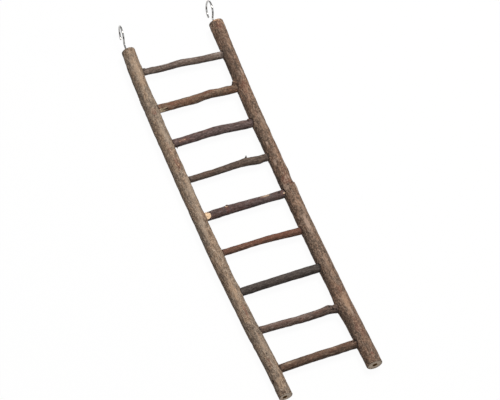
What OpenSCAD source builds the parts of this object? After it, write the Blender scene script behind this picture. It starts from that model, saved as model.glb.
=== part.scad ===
// A bird ladder of natural branch wood. Nine thin branches are the rungs: their
// ends are whittled to tenons and sit in sockets drilled in two thicker branches,
// the rails. A steel screw hook in the head of each rail hangs it from cage bars.
// It lies on its back: X runs from the left rail to the right one, Y from the
// feet to the hooks, and Z up. The origin is on the surface under the ladder,
// at the middle of its whole length and width. Sizes are in millimetres.

/* [Rails] */
// Length of the left rail
left_len = 450; // [300:5:600]
// Length of the right rail
right_len = 452; // [300:5:600]
// How much nearer the hooks the right foot starts
right_start = 4; // [-6:0.5:8]
// Distance between the rails' axes at the feet
foot_spacing = 103.5; // [90:0.5:150]
// Distance between the rails' axes at the heads
head_spacing = 106.5; // [90:0.5:150]
// Bow of the left rail, to the left at its middle
left_bow = 5.5; // [-6:0.5:8]
// Bow of the right rail, to the left at its middle
right_bow = 4.5; // [-6:0.5:8]
// Diameter of the left rail at its foot
left_foot_d = 15.3; // [14:0.1:22]
// Diameter of the left rail at its head
left_head_d = 15.4; // [14:0.1:22]
// Diameter of the right rail at its foot
right_foot_d = 18.1; // [14:0.1:22]
// Diameter of the right rail at its head
right_head_d = 15.4; // [14:0.1:22]
// Width of the worn edge round each sawn end
end_chamfer = 0.8; // [0.3:0.1:2]
// Diameter of the open pith in the left sawn foot
left_pith_d = 4.4; // [2:0.1:6]
// Diameter of the open pith in the right sawn foot
right_pith_d = 5; // [2:0.1:6]
// How far right of the left foot's middle its pith lies
left_pith_x = -1; // [-2:0.1:2]
// Depth of the open pith
pith_depth = 1.6; // [0.5:0.1:4]

/* [Rungs] */
// Distance from the left foot to the lowest rung
first_rung = 31.5; // [25:0.5:36]
// Distance from the highest rung to the nearer of the rails' heads
head_margin = 30.5; // [28:0.5:60]
// Mean diameter of rung 1, the one nearest the hooks
rung_1_d = 8.1; // [7:0.1:11]
// Mean diameter of rung 2
rung_2_d = 9.7; // [7:0.1:11]
// Mean diameter of rung 3
rung_3_d = 9.8; // [7:0.1:11]
// Mean diameter of rung 4
rung_4_d = 8.3; // [7:0.1:11]
// Mean diameter of rung 5
rung_5_d = 9.7; // [7:0.1:11]
// Mean diameter of rung 6
rung_6_d = 8; // [7:0.1:11]
// Mean diameter of rung 7
rung_7_d = 9.7; // [7:0.1:11]
// Mean diameter of rung 8
rung_8_d = 9; // [7:0.1:11]
// Mean diameter of rung 9, the lowest
rung_9_d = 9.7; // [7:0.1:11]

/* [Seats] */
// Diameter of the tenon whittled on each end of a rung
tenon_d = 5.5; // [4:0.1:6]
// Length of a tenon, past the shoulder that stops the rung
tenon_len = 7; // [4:0.5:8]
// Gap all round between a rung's end and its socket
seat_gap = 0.15; // [0.05:0.05:0.4]
// How deep the edge of each shoulder is buried in the rail
shoulder_depth = 0.6; // [0.3:0.1:1]

/* [Hooks] */
// Diameter of the hooks' wire
wire_d = 2.1; // [1.6:0.1:3]
// Diameter of the filed tip of the wire
tip_d = 1.5; // [1:0.1:1.5]
// Radius of the open loop, to the middle of the wire
loop_r = 10.3; // [7:0.1:14]
// Radius of the bend from the shank into the loop
bend_r = 3.5; // [2:0.1:5]
// Angle left open between the left loop's tip and its shank
left_mouth_angle = 100; // [50:1:120]
// Angle left open between the right loop's tip and its shank
right_mouth_angle = 78; // [50:1:120]
// Length of the left hook between the rail's head and the loop
left_shank = 11.5; // [7:0.5:20]
// Length of the right hook between the rail's head and the loop
right_shank = 7.5; // [7:0.5:20]
// Length of the screw in the wood
screw_len = 15; // [8:0.5:20]
// Gap all round between the screw and its pilot hole
screw_gap = 0.1; // [0.05:0.05:0.3]
// Turn of the left hook about its shank
left_turn_angle = -3; // [-20:1:20]
// Turn of the right hook about its shank
right_turn_angle = 5; // [-20:1:20]
// Sideways lean of the left hook
left_lean_angle = 6.5; // [-8:0.5:8]
// Sideways lean of the right hook
right_lean_angle = 4.5; // [-8:0.5:8]
// How far right of the middle of its rail's head the left hook is screwed in
left_hook_x = -1.8; // [-3:0.1:3]
// How far right of the middle of its rail's head the right hook is screwed in
right_hook_x = -1.9; // [-3:0.1:3]

/* [Hidden] */

LEFT = 0;
RIGHT = 1;

// The two rails' sizes, left first
RAIL_LEN = [left_len, right_len];
RAIL_START = [0, right_start];
RAIL_BOW = [left_bow, right_bow];
FOOT_D = [left_foot_d, right_foot_d];
HEAD_D = [left_head_d, right_head_d];
SHANK = [left_shank, right_shank];
TURN = [left_turn_angle, right_turn_angle];
LEAN = [left_lean_angle, right_lean_angle];
HOOK_X = [left_hook_x, right_hook_x];
PITH_D = [left_pith_d, right_pith_d];
PITH_X = [left_pith_x, 0];

// The rungs' sizes, from rung 1 down to rung 9
RUNG_D = [
  rung_1_d, rung_2_d, rung_3_d, rung_4_d, rung_5_d, rung_6_d, rung_7_d, rung_8_d, rung_9_d
];
// The rungs share the rails' length evenly
RUNG_PITCH = (min(left_len, right_start + right_len) - head_margin - first_rung) / (len(RUNG_D) - 1);
// How far each rung's left end was drilled off its even place, towards the hooks
RUNG_SHIFT = [-0.5, -1.6, 0.5, 1, 0.6, 2.7, 0.6, 0.7, 0.4];
// How much nearer the hooks each rung's right end is than its left end
RUNG_RISE = [-5.5, -1.2, -2.1, 0.4, 0.8, -1.3, 1.3, -2.2, 1.6];
// How much thicker each rung is at its right end
RUNG_TAPER = [0.6, -0.5, 0.2, 1, -0.2, 0.8, 0.6, 0.6, 0.4];

// Natural irregularities of the branches. Places on a rail are measured from its
// foot, and places on a rung from its middle, to the right. An angle is seen
// along the branch: on a rail 0 faces right, on a rung 0 faces the hooks, and
// 90 faces up on both.
// A bend: place, shift sideways, shift up, and spread along the branch. Sideways
// is to the right on a rail and towards the hooks on a rung.
RAIL_BENDS = [
  [[38, 1.7, 0, 46], [105, 0.3, 0, 22], [345, -0.5, 0, 22], [410, -1, 0, 40]],
  [[325, -0.4, 0, 30]]
];
RUNG_BENDS = [
  [[-2, 0.9, 0.4, 14]],
  [[15, 1.4, 0.5, 11]],
  [[4, 1.8, 0.4, 26]],
  [[12, 1.1, 0.6, 22], [38, -0.8, 0, 9]],
  [[-12, 0.5, 0.3, 26]],
  [[2, 1, 0.5, 26]],
  [[4, 0, 0.7, 30]],
  [[2, -0.6, 0.3, 20], [36, 1.2, 0.4, 9]],
  [[-8, 0.2, 0.5, 24]]
];
// A swelling all round: place, growth in diameter, and spread
RAIL_SWELLS = [
  [[171, 1, 14], [195, 0.5, 12], [360, 0.6, 30]],
  [[268, -0.7, 55], [385, -0.5, 10], [445, 1.6, 18]]
];
RUNG_SWELLS = [
  [[-4, 0.8, 9]],
  [[-3, 0.4, 7], [15, 0.5, 7]],
  [[3, 0.4, 8]],
  [[-4, -0.4, 26], [28, 0.7, 10]],
  [[-34, 0.6, 10], [26, -0.8, 11]],
  [[-4, -0.9, 26]],
  [[30, 0.4, 12]],
  [[39, 1.5, 8]],
  [[-20, 0.2, 10]]
];
// Bumps of the left rail just above its seats: the rung's number and the height
SEAT_BUMPS = [[1, 0.6], [2, 0.3], [3, 0.3], [7, 1]];
// A knot on one side: place, angle, height, half length and half angle
RAIL_KNOTS = [
  concat(
    [[293, 80, 0.7, 9, 42], [149, 100, 0.5, 8, 36], [34, 116, 0.4, 7, 34]],
    [for (bump = SEAT_BUMPS) [rung_place(bump[0]) + 5, 15, bump[1], 7, 45]]
  ),
  [
    [74, 180, 1.8, 13, 60], [228, 30, 0.8, 8, 42], [247, 25, 0.5, 6, 40],
    [167, 92, 0.6, 8, 38], [360, 116, 0.4, 7, 34], [300, 250, 0.3, 12, 40]
  ]
];
RUNG_KNOTS = [
  [[-36, 40, 0.4, 4, 50]],
  [[36, 40, 0.7, 6, 60]],
  [[38, 60, 0.6, 5, 60]],
  [[20, 20, 0.6, 5, 55]],
  [[-19, 60, 0.7, 4.5, 55], [-17, 250, 0.5, 5, 60]],
  [[14, 80, 0.3, 5, 45]],
  [[-16, 100, 0.3, 5, 45]],
  [[36, 100, 0.4, 4, 50]],
  [[-34, 80, 0.4, 5, 50]]
];
// The stub of a pruned twig: place, angle, base and tip diameter, height, and
// lean to the right or towards the hooks
RAIL_STUBS = [
  [[293, 80, 5.6, 4.6, 0.5, 0]],
  [[167, 92, 4.4, 3.4, 0.4, 0]]
];
RUNG_STUBS = [
  [[-43, 30, 2.8, 2, 0.5, 0]],
  [[41, 42, 5.6, 5, 3.6, 14]],
  [[42.5, 62, 3.6, 2.4, 1.4, 0], [-42, 185, 2.6, 0.8, 2, -15]],
  [[21.5, 20, 3.6, 0.8, 2.6, 25]],
  [[-19.5, 54, 3.4, 2.4, 0.6, 0]],
  [],
  [],
  [[36, 100, 3.2, 2.2, 0.4, 0]],
  [[40, 66, 3.2, 2.2, 0.8, 0]]
];
// A flat left by the whittling knife: end of the rung, angle, length and depth
RUNG_CUTS = [
  [],
  [[LEFT, 165, 9, 1.6], [LEFT, 280, 8, 1]],
  [[RIGHT, 250, 7, 1]],
  [[RIGHT, 240, 6, 0.8]],
  [[LEFT, 112, 10, 1.4], [LEFT, 40, 7, 0.8], [RIGHT, 260, 6, 0.8]],
  [],
  [[LEFT, 260, 7, 0.8]],
  [[RIGHT, 270, 6, 0.8]],
  [[RIGHT, 250, 6, 0.8], [LEFT, 280, 6, 0.7]]
];

RAIL_SIDES = 24;
RAIL_RINGS = 56;
RUNG_SIDES = 16;
RUNG_RINGS = 24;
// Length at a rung's end that is whittled truly round, and the run-out after it
true_len = 5;
run_out = 8;
// Space left under the feet, so that the uneven bark clears the surface
foot_clear = 0.3;
// Length of the screw's point
point_len = 4;
// Extra length of every cut, so that it breaks cleanly through a surface
cut_over = 4;

// The hook's centreline: an arc of bend_r leads out of the shank into the loop
LOOP_OUT = loop_r + wire_d / 2;
BEND_ANGLE = asin(bend_r / (loop_r + bend_r));
BEND_BACK = sqrt(pow(loop_r, 2) + 2 * loop_r * bend_r);
TIP_ANGLE = [left_mouth_angle - 180, right_mouth_angle - 180];

// The rails' axes rise from the feet to the heads, because the loops stand out
// below the rails there
FOOT_Z = [for (d = FOOT_D) d / 2 + foot_clear];
HEAD_Z = [for (d = HEAD_D) max(d / 2 + foot_clear, LOOP_OUT)];

// Shifts that bring the middle of the whole ladder over the origin
LEFT_EDGE = -(foot_spacing + head_spacing) / 4 - left_bow - (left_foot_d + left_head_d) / 4;
RIGHT_EDGE = max(foot_spacing + rail_d(RIGHT, 0), head_spacing + rail_d(RIGHT, right_len)) / 2;
SHIFT_X = -(LEFT_EDGE + RIGHT_EDGE) / 2;
SHIFT_Y = -max([for (side = [LEFT, RIGHT]) hook_top(side)]) / 2;

function hook_top(side) = RAIL_START[side] + RAIL_LEN[side] + SHANK[side] + loop_r + LOOP_OUT;

// Small helpers: a smooth hump, a smooth step from 0 to 1, a blend, a sum and
// the difference between two angles
function bell(x, spread) = exp(-pow(x / spread, 2));
function smooth(x) = let (c = min(1, max(0, x))) c * c * (3 - 2 * c);
function blend(a, b, t) = a + (b - a) * t;
function sum(list, i = 0) = i < len(list) ? list[i] + sum(list, i + 1) : 0;
function turn_between(a, b) = (a - b + 900) % 360 - 180;

// What a branch's bends, swellings and knots add at place s
function bend_at(bends, s, way) = sum([for (b = bends) b[way] * bell(s - b[0], b[3])]);
function swell_at(swells, s) = sum([for (w = swells) w[1] * bell(s - w[0], w[2])]);
function knot_at(knots, s, a) =
  sum([for (k = knots) k[2] * bell(s - k[0], k[3]) * bell(turn_between(a, k[1]), k[4])]);

// A branch is never quite round: its section is a little oval and lobed, and
// that form turns slowly along it
function oval(s, a, seed) =
  1 + 0.02 * cos(2 * a + 0.6 * s + seed) + 0.012 * cos(3 * a - 0.9 * s + 2 * seed)
  + 0.01 * sin(4 * s + 3 * seed);

// The middle of a rail at distance s from its foot
function rail_axis(side, s) =
  let (
    t = s / RAIL_LEN[side],
    half = blend(foot_spacing, head_spacing, t) / 2,
    bow = RAIL_BOW[side] * 4 * t * (1 - t)
  )
  [
    SHIFT_X + (side == LEFT ? -half : half) - bow + bend_at(RAIL_BENDS[side], s, 1),
    SHIFT_Y + RAIL_START[side] + s,
    blend(FOOT_Z[side], HEAD_Z[side], t) + bend_at(RAIL_BENDS[side], s, 2)
  ];

function rail_d(side, s) =
  blend(FOOT_D[side], HEAD_D[side], s / RAIL_LEN[side]) + swell_at(RAIL_SWELLS[side], s);

function rail_r(side, s, a) =
  let (worn = max(0, end_chamfer - min(s, RAIL_LEN[side] - s)))
  rail_d(side, s) / 2 * oval(s, a, 40 + 70 * side) + knot_at(RAIL_KNOTS[side], s, a) - worn;

function rail_ring(side, s) =
  [for (i = [0:RAIL_SIDES - 1])
    let (a = 360 * i / RAIL_SIDES, r = rail_r(side, s, a))
    rail_axis(side, s) + r * [cos(a), 0, sin(a)]];

// Rung k's left end is rung_place(k) from the left foot. Its span joins the two
// rails' axes, and its shoulders stop it where each rail just buries them.
function rung_place(k) = first_rung + RUNG_PITCH * (len(RUNG_D) - k) + RUNG_SHIFT[k - 1];
function end_place(k, side) =
  rung_place(k) + (side == LEFT ? 0 : RUNG_RISE[k - 1] - right_start);
function rung_end(k, side) = rail_axis(side, end_place(k, side));
function rung_way(k) = rung_end(k, RIGHT) - rung_end(k, LEFT);
function rung_span(k) = norm(rung_way(k));
function end_d(k, side) = RUNG_D[k - 1] + RUNG_TAPER[k - 1] * (side - 0.5);
function shoulder(k, side) =
  let (r = rail_d(side, end_place(k, side)) / 2, half = end_d(k, side) / 2 + shoulder_depth)
  sqrt(max(pow(r, 2) - pow(half, 2), pow(r / 3, 2)));
function body_len(k) = rung_span(k) - shoulder(k, LEFT) - shoulder(k, RIGHT);

// How freely the branch varies at distance s from its left shoulder: not at all
// in its seats
function freedom(k, s) = smooth((min(s, body_len(k) - s) - true_len) / run_out);

// The radius that a knife cut leaves: its flat rises away from the rung's end
function cut_r(k, s, a, r) =
  min(concat([r], [for (c = RUNG_CUTS[k - 1])
    let (
      from_end = c[0] == LEFT ? s : body_len(k) - s,
      flat = r - c[3] * smooth((c[2] + true_len - from_end) / c[2]) * smooth(from_end / true_len),
      off = turn_between(a, c[1])
    )
    abs(off) < 80 ? flat / cos(off) : r]));

function rung_r(k, s, a) =
  let (
    m = s - body_len(k) / 2,
    f = freedom(k, s),
    d = blend(end_d(k, LEFT), end_d(k, RIGHT), smooth(s / body_len(k))),
    bark = (d + f * swell_at(RUNG_SWELLS[k - 1], m)) / 2 * (1 + f * (oval(3 * s, a, 50 * k) - 1))
      + f * knot_at(RUNG_KNOTS[k - 1], m, a)
  )
  cut_r(k, s, a, bark);

// A ring of a rung, in the frame of at_rung
function rung_middle(k, s) =
  let (m = s - body_len(k) / 2, f = freedom(k, s))
  [
    shoulder(k, LEFT) + s,
    f * bend_at(RUNG_BENDS[k - 1], m, 1),
    f * bend_at(RUNG_BENDS[k - 1], m, 2)
  ];
function rung_ring(k, s) =
  [for (i = [0:RUNG_SIDES - 1])
    let (a = 360 * i / RUNG_SIDES, r = rung_r(k, s, a))
    rung_middle(k, s) + r * [0, cos(a), sin(a)]];

// A closed skin over a list of rings. The rings turn right-handed about the way
// that they advance, unless mirrored says otherwise.
module skin(rings, mirrored = false) {
  sides = len(rings[0]);
  last = len(rings) - 1;
  quads = [for (i = [0:last - 1], j = [0:sides - 1])
    let (n = (j + 1) % sides)
    [i * sides + j, (i + 1) * sides + j, (i + 1) * sides + n, i * sides + n]];
  sides_faces = [for (q = quads) each [[q[0], q[1], q[2]], [q[0], q[2], q[3]]]];
  first_cap = [for (j = [0:sides - 1]) j];
  last_cap = [for (j = [sides - 1:-1:0]) last * sides + j];
  faces = concat(sides_faces, [first_cap, last_cap]);
  polyhedron(
    points = [for (ring = rings) each ring],
    faces = mirrored ? [for (f = faces) [for (i = [len(f) - 1:-1:0]) f[i]]] : faces
  );
}

// A pruned twig's stub: it grows out of the middle of the branch, along the
// direction given by its angle, and leans along the branch
module stub(size, surface_r) {
  root = surface_r / 2;
  height = surface_r - root + size[4];
  rotate([size[1], 0, 0])
    rotate([0, 0, -size[5]])
      rotate([-90, 0, 0])
        translate([0, 0, root])
          cylinder(d1 = size[2], d2 = size[3], h = height, $fn = 24);
}

// Rung k's frame: its origin is on the left rail's axis, X runs to the right
// rail's axis, Y leans to the hooks and Z up
module at_rung(k) {
  way = rung_way(k);
  translate(rung_end(k, LEFT))
    rotate([0, -asin(way[2] / norm(way)), atan2(way[1], way[0])])
      children();
}

// The same frame seen from either end: X runs from that rail's axis to the rung
module at_end(k, side) {
  at_rung(k)
    translate([side == LEFT ? 0 : rung_span(k), 0, 0])
      rotate([0, 0, side == LEFT ? 0 : 180])
        children();
}

// A round bar along X
module bar(d, from, to) {
  translate([from, 0, 0])
    rotate([0, 90, 0])
      cylinder(d = d, h = to - from, $fn = 48);
}

// The socket that a rung's end needs in a rail: a mouth as wide as the rung,
// and a deeper hole for the tenon
module socket(k, side) {
  stop = shoulder(k, side);
  at_end(k, side) {
    bar(end_d(k, side) + 2 * seat_gap, stop - seat_gap, rail_d(side, end_place(k, side)) / 2 + cut_over);
    bar(tenon_d + 2 * seat_gap, stop - tenon_len - seat_gap, stop);
  }
}

// The frame of a hook: its origin is on the rail's head, near the middle, Y runs
// out along the shank and Z towards the front of the loop
module at_hook(side) {
  translate(rail_axis(side, RAIL_LEN[side]) + [HOOK_X[side], 0, 0])
    rotate([0, TURN[side], -LEAN[side]])
      children();
}

// The screw's body and point, made gap wider all round for its pilot hole
module screw(gap, over) {
  rotate([-90, 0, 0]) {
    translate([0, 0, point_len - screw_len])
      cylinder(d = wire_d + 2 * gap, h = screw_len - point_len + over, $fn = 32);
    translate([0, 0, -screw_len - gap])
      cylinder(d1 = wire_d / 4 + 2 * gap, d2 = wire_d + 2 * gap, h = point_len + gap, $fn = 32);
  }
}

// An arc of the hooks' wire in the plane of X and Y. It starts on the X axis.
module wire_arc(r, angle) {
  rotate_extrude(angle = angle, $fn = 96)
    translate([r, 0])
      circle(d = wire_d, $fn = 32);
}

// A ball on the wire's middle
module wire_ball(d, y, z) {
  translate([0, y, z])
    rotate([-90, 0, 0])
      sphere(d = d, $fn = 32);
}

module rail(side) {
  length = RAIL_LEN[side];
  inner = [for (i = [0:RAIL_RINGS]) blend(end_chamfer, length - end_chamfer, i / RAIL_RINGS)];
  difference() {
    union() {
      skin([for (s = concat([0], inner, [length])) rail_ring(side, s)], mirrored = true);
      for (size = RAIL_STUBS[side])
        translate(rail_axis(side, size[0]))
          mirror([1, -1, 0])
            stub(size, rail_r(side, size[0], size[1]));
    }
    for (k = [1:len(RUNG_D)])
      socket(k, side);
    at_hook(side)
      screw(screw_gap, cut_over);
    translate(rail_axis(side, 0) + [PITH_X[side], -cut_over, 0])
      rotate([-90, 0, 0])
        cylinder(d = PITH_D[side], h = pith_depth + cut_over, $fn = 32);
  }
}

module rung(k) {
  length = body_len(k);
  at_rung(k) {
    skin([for (i = [0:RUNG_RINGS]) rung_ring(k, length * i / RUNG_RINGS)]);
    for (size = RUNG_STUBS[k - 1])
      let (s = size[0] + length / 2)
        translate(rung_middle(k, s))
          stub(size, rung_r(k, s, size[1]));
  }
  for (side = [LEFT, RIGHT])
    at_end(k, side)
      bar(tenon_d, shoulder(k, side) - tenon_len, shoulder(k, side) + true_len);
}

module hook(side) {
  middle = SHANK[side] + loop_r;
  bend_start = middle - BEND_BACK;
  at_hook(side) {
    screw(0, bend_start);
    // This ball closes the joint between the shank and its bend
    wire_ball(wire_d, bend_start, 0);
    // The bend and the loop curve opposite ways from the point where they meet
    translate([0, bend_start, bend_r])
      rotate([90, 0, 90])
        rotate([0, 0, -BEND_ANGLE]) {
          wire_arc(bend_r, BEND_ANGLE - 90);
          translate([bend_r + loop_r, 0, 0])
            rotate([0, 0, 180])
              wire_arc(loop_r, BEND_ANGLE + TIP_ANGLE[side] - 180);
        }
    wire_ball(tip_d, middle + loop_r * cos(TIP_ANGLE[side]), loop_r * sin(TIP_ANGLE[side]));
  }
}

module rail_left() { color("#8f8069") rail(LEFT); }
module rail_right() { color("#7a6652") rail(RIGHT); }
module rung_1() { color("#7a6a5e") rung(1); }
module rung_2() { color("#6e4f40") rung(2); }
module rung_3() { color("#57474a") rung(3); }
module rung_4() { color("#4f4038") rung(4); }
module rung_5() { color("#4a3a38") rung(5); }
module rung_6() { color("#6a5146") rung(6); }
module rung_7() { color("#4a4442") rung(7); }
module rung_8() { color("#6b5650") rung(8); }
module rung_9() { color("#6d5040") rung(9); }
module hook_left() { color("silver") hook(LEFT); }
module hook_right() { color("silver") hook(RIGHT); }

rail_left();
rail_right();
rung_1();
rung_2();
rung_3();
rung_4();
rung_5();
rung_6();
rung_7();
rung_8();
rung_9();
hook_left();
hook_right();
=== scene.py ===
# %% [markdown]
# A bird ladder of natural branch wood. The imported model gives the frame: two rails,
# nine rungs and two screw hooks, lying on their back with X from the left rail to the
# right one, Y from the feet to the hooks and Z up. Its solids are coarse and smooth. A
# real branch has wrinkled bark, knots, scars and pale wood where a knife has been, so
# each piece here is a finer surface worked out by the same formulas as its solid.

# %% Open the frame
import math

import bpy
import numpy as np
from mathutils import Matrix


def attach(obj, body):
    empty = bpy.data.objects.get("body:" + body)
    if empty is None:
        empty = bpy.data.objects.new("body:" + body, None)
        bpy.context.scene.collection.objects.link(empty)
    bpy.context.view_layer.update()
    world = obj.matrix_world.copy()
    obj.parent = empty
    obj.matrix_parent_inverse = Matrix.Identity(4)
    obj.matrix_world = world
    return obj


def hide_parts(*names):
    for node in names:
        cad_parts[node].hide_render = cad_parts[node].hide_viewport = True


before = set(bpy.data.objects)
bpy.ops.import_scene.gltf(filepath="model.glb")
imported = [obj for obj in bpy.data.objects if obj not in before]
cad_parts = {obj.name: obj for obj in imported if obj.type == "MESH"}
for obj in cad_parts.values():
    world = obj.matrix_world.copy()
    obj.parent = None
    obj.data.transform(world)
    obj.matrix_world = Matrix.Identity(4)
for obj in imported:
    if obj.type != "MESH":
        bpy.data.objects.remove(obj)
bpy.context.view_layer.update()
MM = 0.001
print("pieces in the frame:", len(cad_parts))

# %% [markdown]
# The photograph was taken from far off with a long lens, so the rails run almost
# parallel in it. The camera stands three metres away, over the feet and to the left, and
# is rolled a little. Its place was worked out from where the rails' ends and the rungs'
# seats lie in the picture. The lens, on a 36 mm sensor, sees the picture's whole width.

# %% Set up the camera
CAMERA_PLACE = (-0.92855, -1.45199, 2.72874)
# The ways to its right, its top and its back
CAMERA_AXES = (
    (0.91958, -0.37509, 0.11696), (0.26476, 0.81152, 0.52090), (-0.29030, -0.44804, 0.84557))
LENS_MM, SENSOR_MM = 216.26, 36
NEAREST, FARTHEST = 0.1, 20


def stand(name, data, axes, place):
    """A camera or lamp at place, its own X, Y and Z turned to the three rows of axes."""
    thing = bpy.data.objects.new(name, data)
    thing.matrix_world = Matrix(np.transpose(axes).tolist()).to_4x4()
    thing.location = place
    scene.collection.objects.link(thing)
    return thing


scene = bpy.context.scene
scene.view_settings.view_transform = "Standard"
lens = bpy.data.cameras.new("portrait_lens")
lens.sensor_width, lens.lens = SENSOR_MM, LENS_MM
lens.clip_start, lens.clip_end = NEAREST, FARTHEST
scene.camera = stand("portrait_camera", lens, CAMERA_AXES, CAMERA_PLACE)
print("camera to ladder in mm:", round(math.dist(CAMERA_PLACE, (0, 0, 0)) / MM))

# %% [markdown]
# Materials in Blender are small networks of nodes. This class lets an ordinary
# expression build them: where mask is the output of some node, 1 - mask * 0.5 adds the
# two Math nodes that work it out. Every other node comes from one method, which takes the
# node's type, what goes into its sockets, by name or by number, and its settings.

# %% Shader maths
class Socket:
    """An output of a node. Arithmetic on it adds Math nodes and gives a new Socket."""

    def __init__(self, nodes, output):
        self.nodes, self.output = nodes, output

    def math(self, operation, *values):
        """A Math node of this material, with values in its sockets."""
        return self.nodes.add("Math", dict(enumerate(values)), operation=operation)

    def __add__(self, other):
        return self.math("ADD", self, other)

    def __sub__(self, other):
        return self.math("SUBTRACT", self, other)

    def __mul__(self, other):
        return self.math("MULTIPLY", self, other)

    def __rsub__(self, other):
        return self.math("SUBTRACT", other, self)

    __radd__ = __add__
    __rmul__ = __mul__

    def held(self):
        """The value, held between 0 and 1."""
        return self.math("MINIMUM", self.math("MAXIMUM", self, 0), 1)

    def sharpened(self, contrast, middle=0.5):
        """The value with its contrast raised about middle, held between 0 and 1."""
        return ((self - middle) * contrast + 0.5).held()


print("sockets can be added, subtracted and multiplied")

# %% A material's nodes
class Nodes:
    """The nodes of one material, or of the world."""

    def __init__(self, owner):
        owner.use_nodes = True
        self.tree = owner.node_tree
        self.tree.nodes.clear()

    def add(self, kind, inputs=None, out=0, **settings):
        """Adds a node, sets its settings first, fills its sockets and gives an output."""
        node = self.tree.nodes.new("ShaderNode" + kind)
        for key, value in settings.items():
            setattr(node, key, value)
        for key, value in (inputs or {}).items():
            if isinstance(value, Socket):
                self.tree.links.new(value.output, node.inputs[key])
            else:
                node.inputs[key].default_value = value
        return Socket(self, node.outputs[out]) if len(node.outputs) else None

    def blend(self, factor, first, second):
        """From the first colour at factor 0 to the second one at factor 1."""
        return self.add("Mix", {0: factor, 6: first, 7: second}, 2, data_type="RGBA")

    def split(self, vector):
        """The three numbers of a vector."""
        node = self.add("SeparateXYZ", {0: vector}).output.node
        return [Socket(self, output) for output in node.outputs]

    def surface(self, kind, inputs):
        """Adds a shader as the one that the material shows."""
        self.add("OutputMaterial", {"Surface": self.add(kind, inputs)})


def paint(code):
    """A colour written as on a paint chart, such as 8a7560, in the renderer's numbers."""
    parts = np.array([int(code[i:i + 2], 16) for i in (0, 2, 4)]) / 255
    linear = np.where(parts <= 0.04045, parts / 12.92, ((parts + 0.055) / 1.055) ** 2.4)
    return (*linear.tolist(), 1.0)


print("mid grey on the paint chart is", round(paint("808080")[0], 3), "in the renderer")

# %% [markdown]
# The picture has a bare white ground. The floor here is a large pale sheet that the
# camera sees almost white whatever falls on it, with a little real shading mixed in for a
# soft shadow. Light that bounces from it onto the wood comes from a darker sheet, because
# the undersides in the picture are nearly black: the Light Path node tells those rays
# apart. The bright metal sees the same white surroundings, with a dark horizon and
# ceiling, like the dark cards that a photographer stands round chrome for an outline.

# %% Floor and surroundings
FLOOR_SIZE = 12.0
FLOOR_DROP = 0.0002
GROUND_WHITE = 0.96
WHITE = (1, 1, 1, 1)
HORIZON, CEILING = 0.5, 0.76


def seen_straight(nodes):
    """1 where the camera sees a surface, also in a mirror or through glass, else 0."""
    camera_ray, glossy, through = (
        nodes.add("LightPath", out=f"Is {kind} Ray")
        for kind in ("Camera", "Glossy", "Transmission"))
    return (camera_ray + glossy + through).held()


def make_floor():
    """A flat square of one face, facing up, just under the ladder."""
    half = FLOOR_SIZE / 2
    corners = ((-half, -half), (half, -half), (half, half), (-half, half))
    mesh = bpy.data.meshes.new("floor")
    mesh.from_pydata([(x, y, -FLOOR_DROP) for x, y in corners], [], [(0, 1, 2, 3)])
    floor = bpy.data.objects.new("floor", mesh)
    scene.collection.objects.link(floor)
    material = bpy.data.materials.new("pale_floor")
    nodes = Nodes(material)
    shaded = nodes.add("BsdfDiffuse", {"Color": paint("f4f4f4")})
    white = nodes.add("Emission", {"Color": WHITE, "Strength": 1.0})
    dim = nodes.add("BsdfDiffuse", {"Color": paint("9a9a9a")})
    pale = nodes.add("MixShader", {0: GROUND_WHITE, 1: shaded, 2: white})
    nodes.surface("MixShader", {0: seen_straight(nodes), 1: dim, 2: pale})
    mesh.materials.append(material)


def make_world():
    """White all round for the camera, a soft sky for the wood, dark low down for metal."""
    scene.world = bpy.data.worlds.new("studio")
    nodes = Nodes(scene.world)
    glossy = nodes.add("LightPath", out="Is Glossy Ray")
    height = nodes.split(nodes.add("TexCoord", out="Generated"))[2]
    band = ((height - HORIZON) * 8).held() * (1 - ((height - CEILING) * 12).held())
    metal_sees = nodes.blend(band, paint("1c1a18"), WHITE)
    sky = nodes.blend(seen_straight(nodes), paint("6c6e71"), WHITE)
    light = nodes.add("Background", {
        "Color": nodes.blend(glossy, sky, metal_sees), "Strength": 1.0})
    nodes.add("OutputWorld", {"Surface": light})


make_floor()
make_world()
print("floor and surroundings made")

# %% [markdown]
# Across a rung in the picture the light falls from the side of the hooks to a third of
# that at the lower edge, as it would under one large lamp straight above, and the rails
# are brightest a little to the right of their middle. So one softbox hangs overhead,
# slightly to the right and towards the hooks, and a faint one stands by the camera. A
# lamp of W watts at D metres lights a surface by about W / (10 D D) of the level at which
# its colour renders as written.

# %% Lamps
LAMPS = {
    "overhead_softbox": dict(place=(0.45, 0.35, 1.9), size=0.8, watts=38, colour="fffbf6"),
    "camera_softbox": dict(place=(-0.7, -1.1, 2.0), size=1.2, watts=6, colour="f4f8ff"),
}


def hang_lamp(name, place, size, watts, colour):
    """A square softbox at place, turned to the middle of the ladder."""
    lamp = bpy.data.lights.new(name, "AREA")
    lamp.shape, lamp.size = "SQUARE", size
    lamp.energy, lamp.color = watts, paint(colour)[:3]
    back = np.array(place) / np.linalg.norm(place)
    side = np.cross((0, 0, 1), back)
    side /= np.linalg.norm(side)
    stand(name, lamp, (side, np.cross(back, side), back), place)
    return watts / (math.pi ** 2 * float(np.dot(place, place)))


for lamp_name, setting in LAMPS.items():
    print(lamp_name, "lights the ladder to", round(hang_lamp(lamp_name, **setting), 2))

# %% [markdown]
# Every branch is written as numbers that a ladder maker could have noted, the same as
# for the solids. Places on a rail count from its foot and on a rung from its middle, in
# millimetres. An angle of 0 faces right on a rail and the hooks on a rung, and 90 faces
# up on both.

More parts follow.
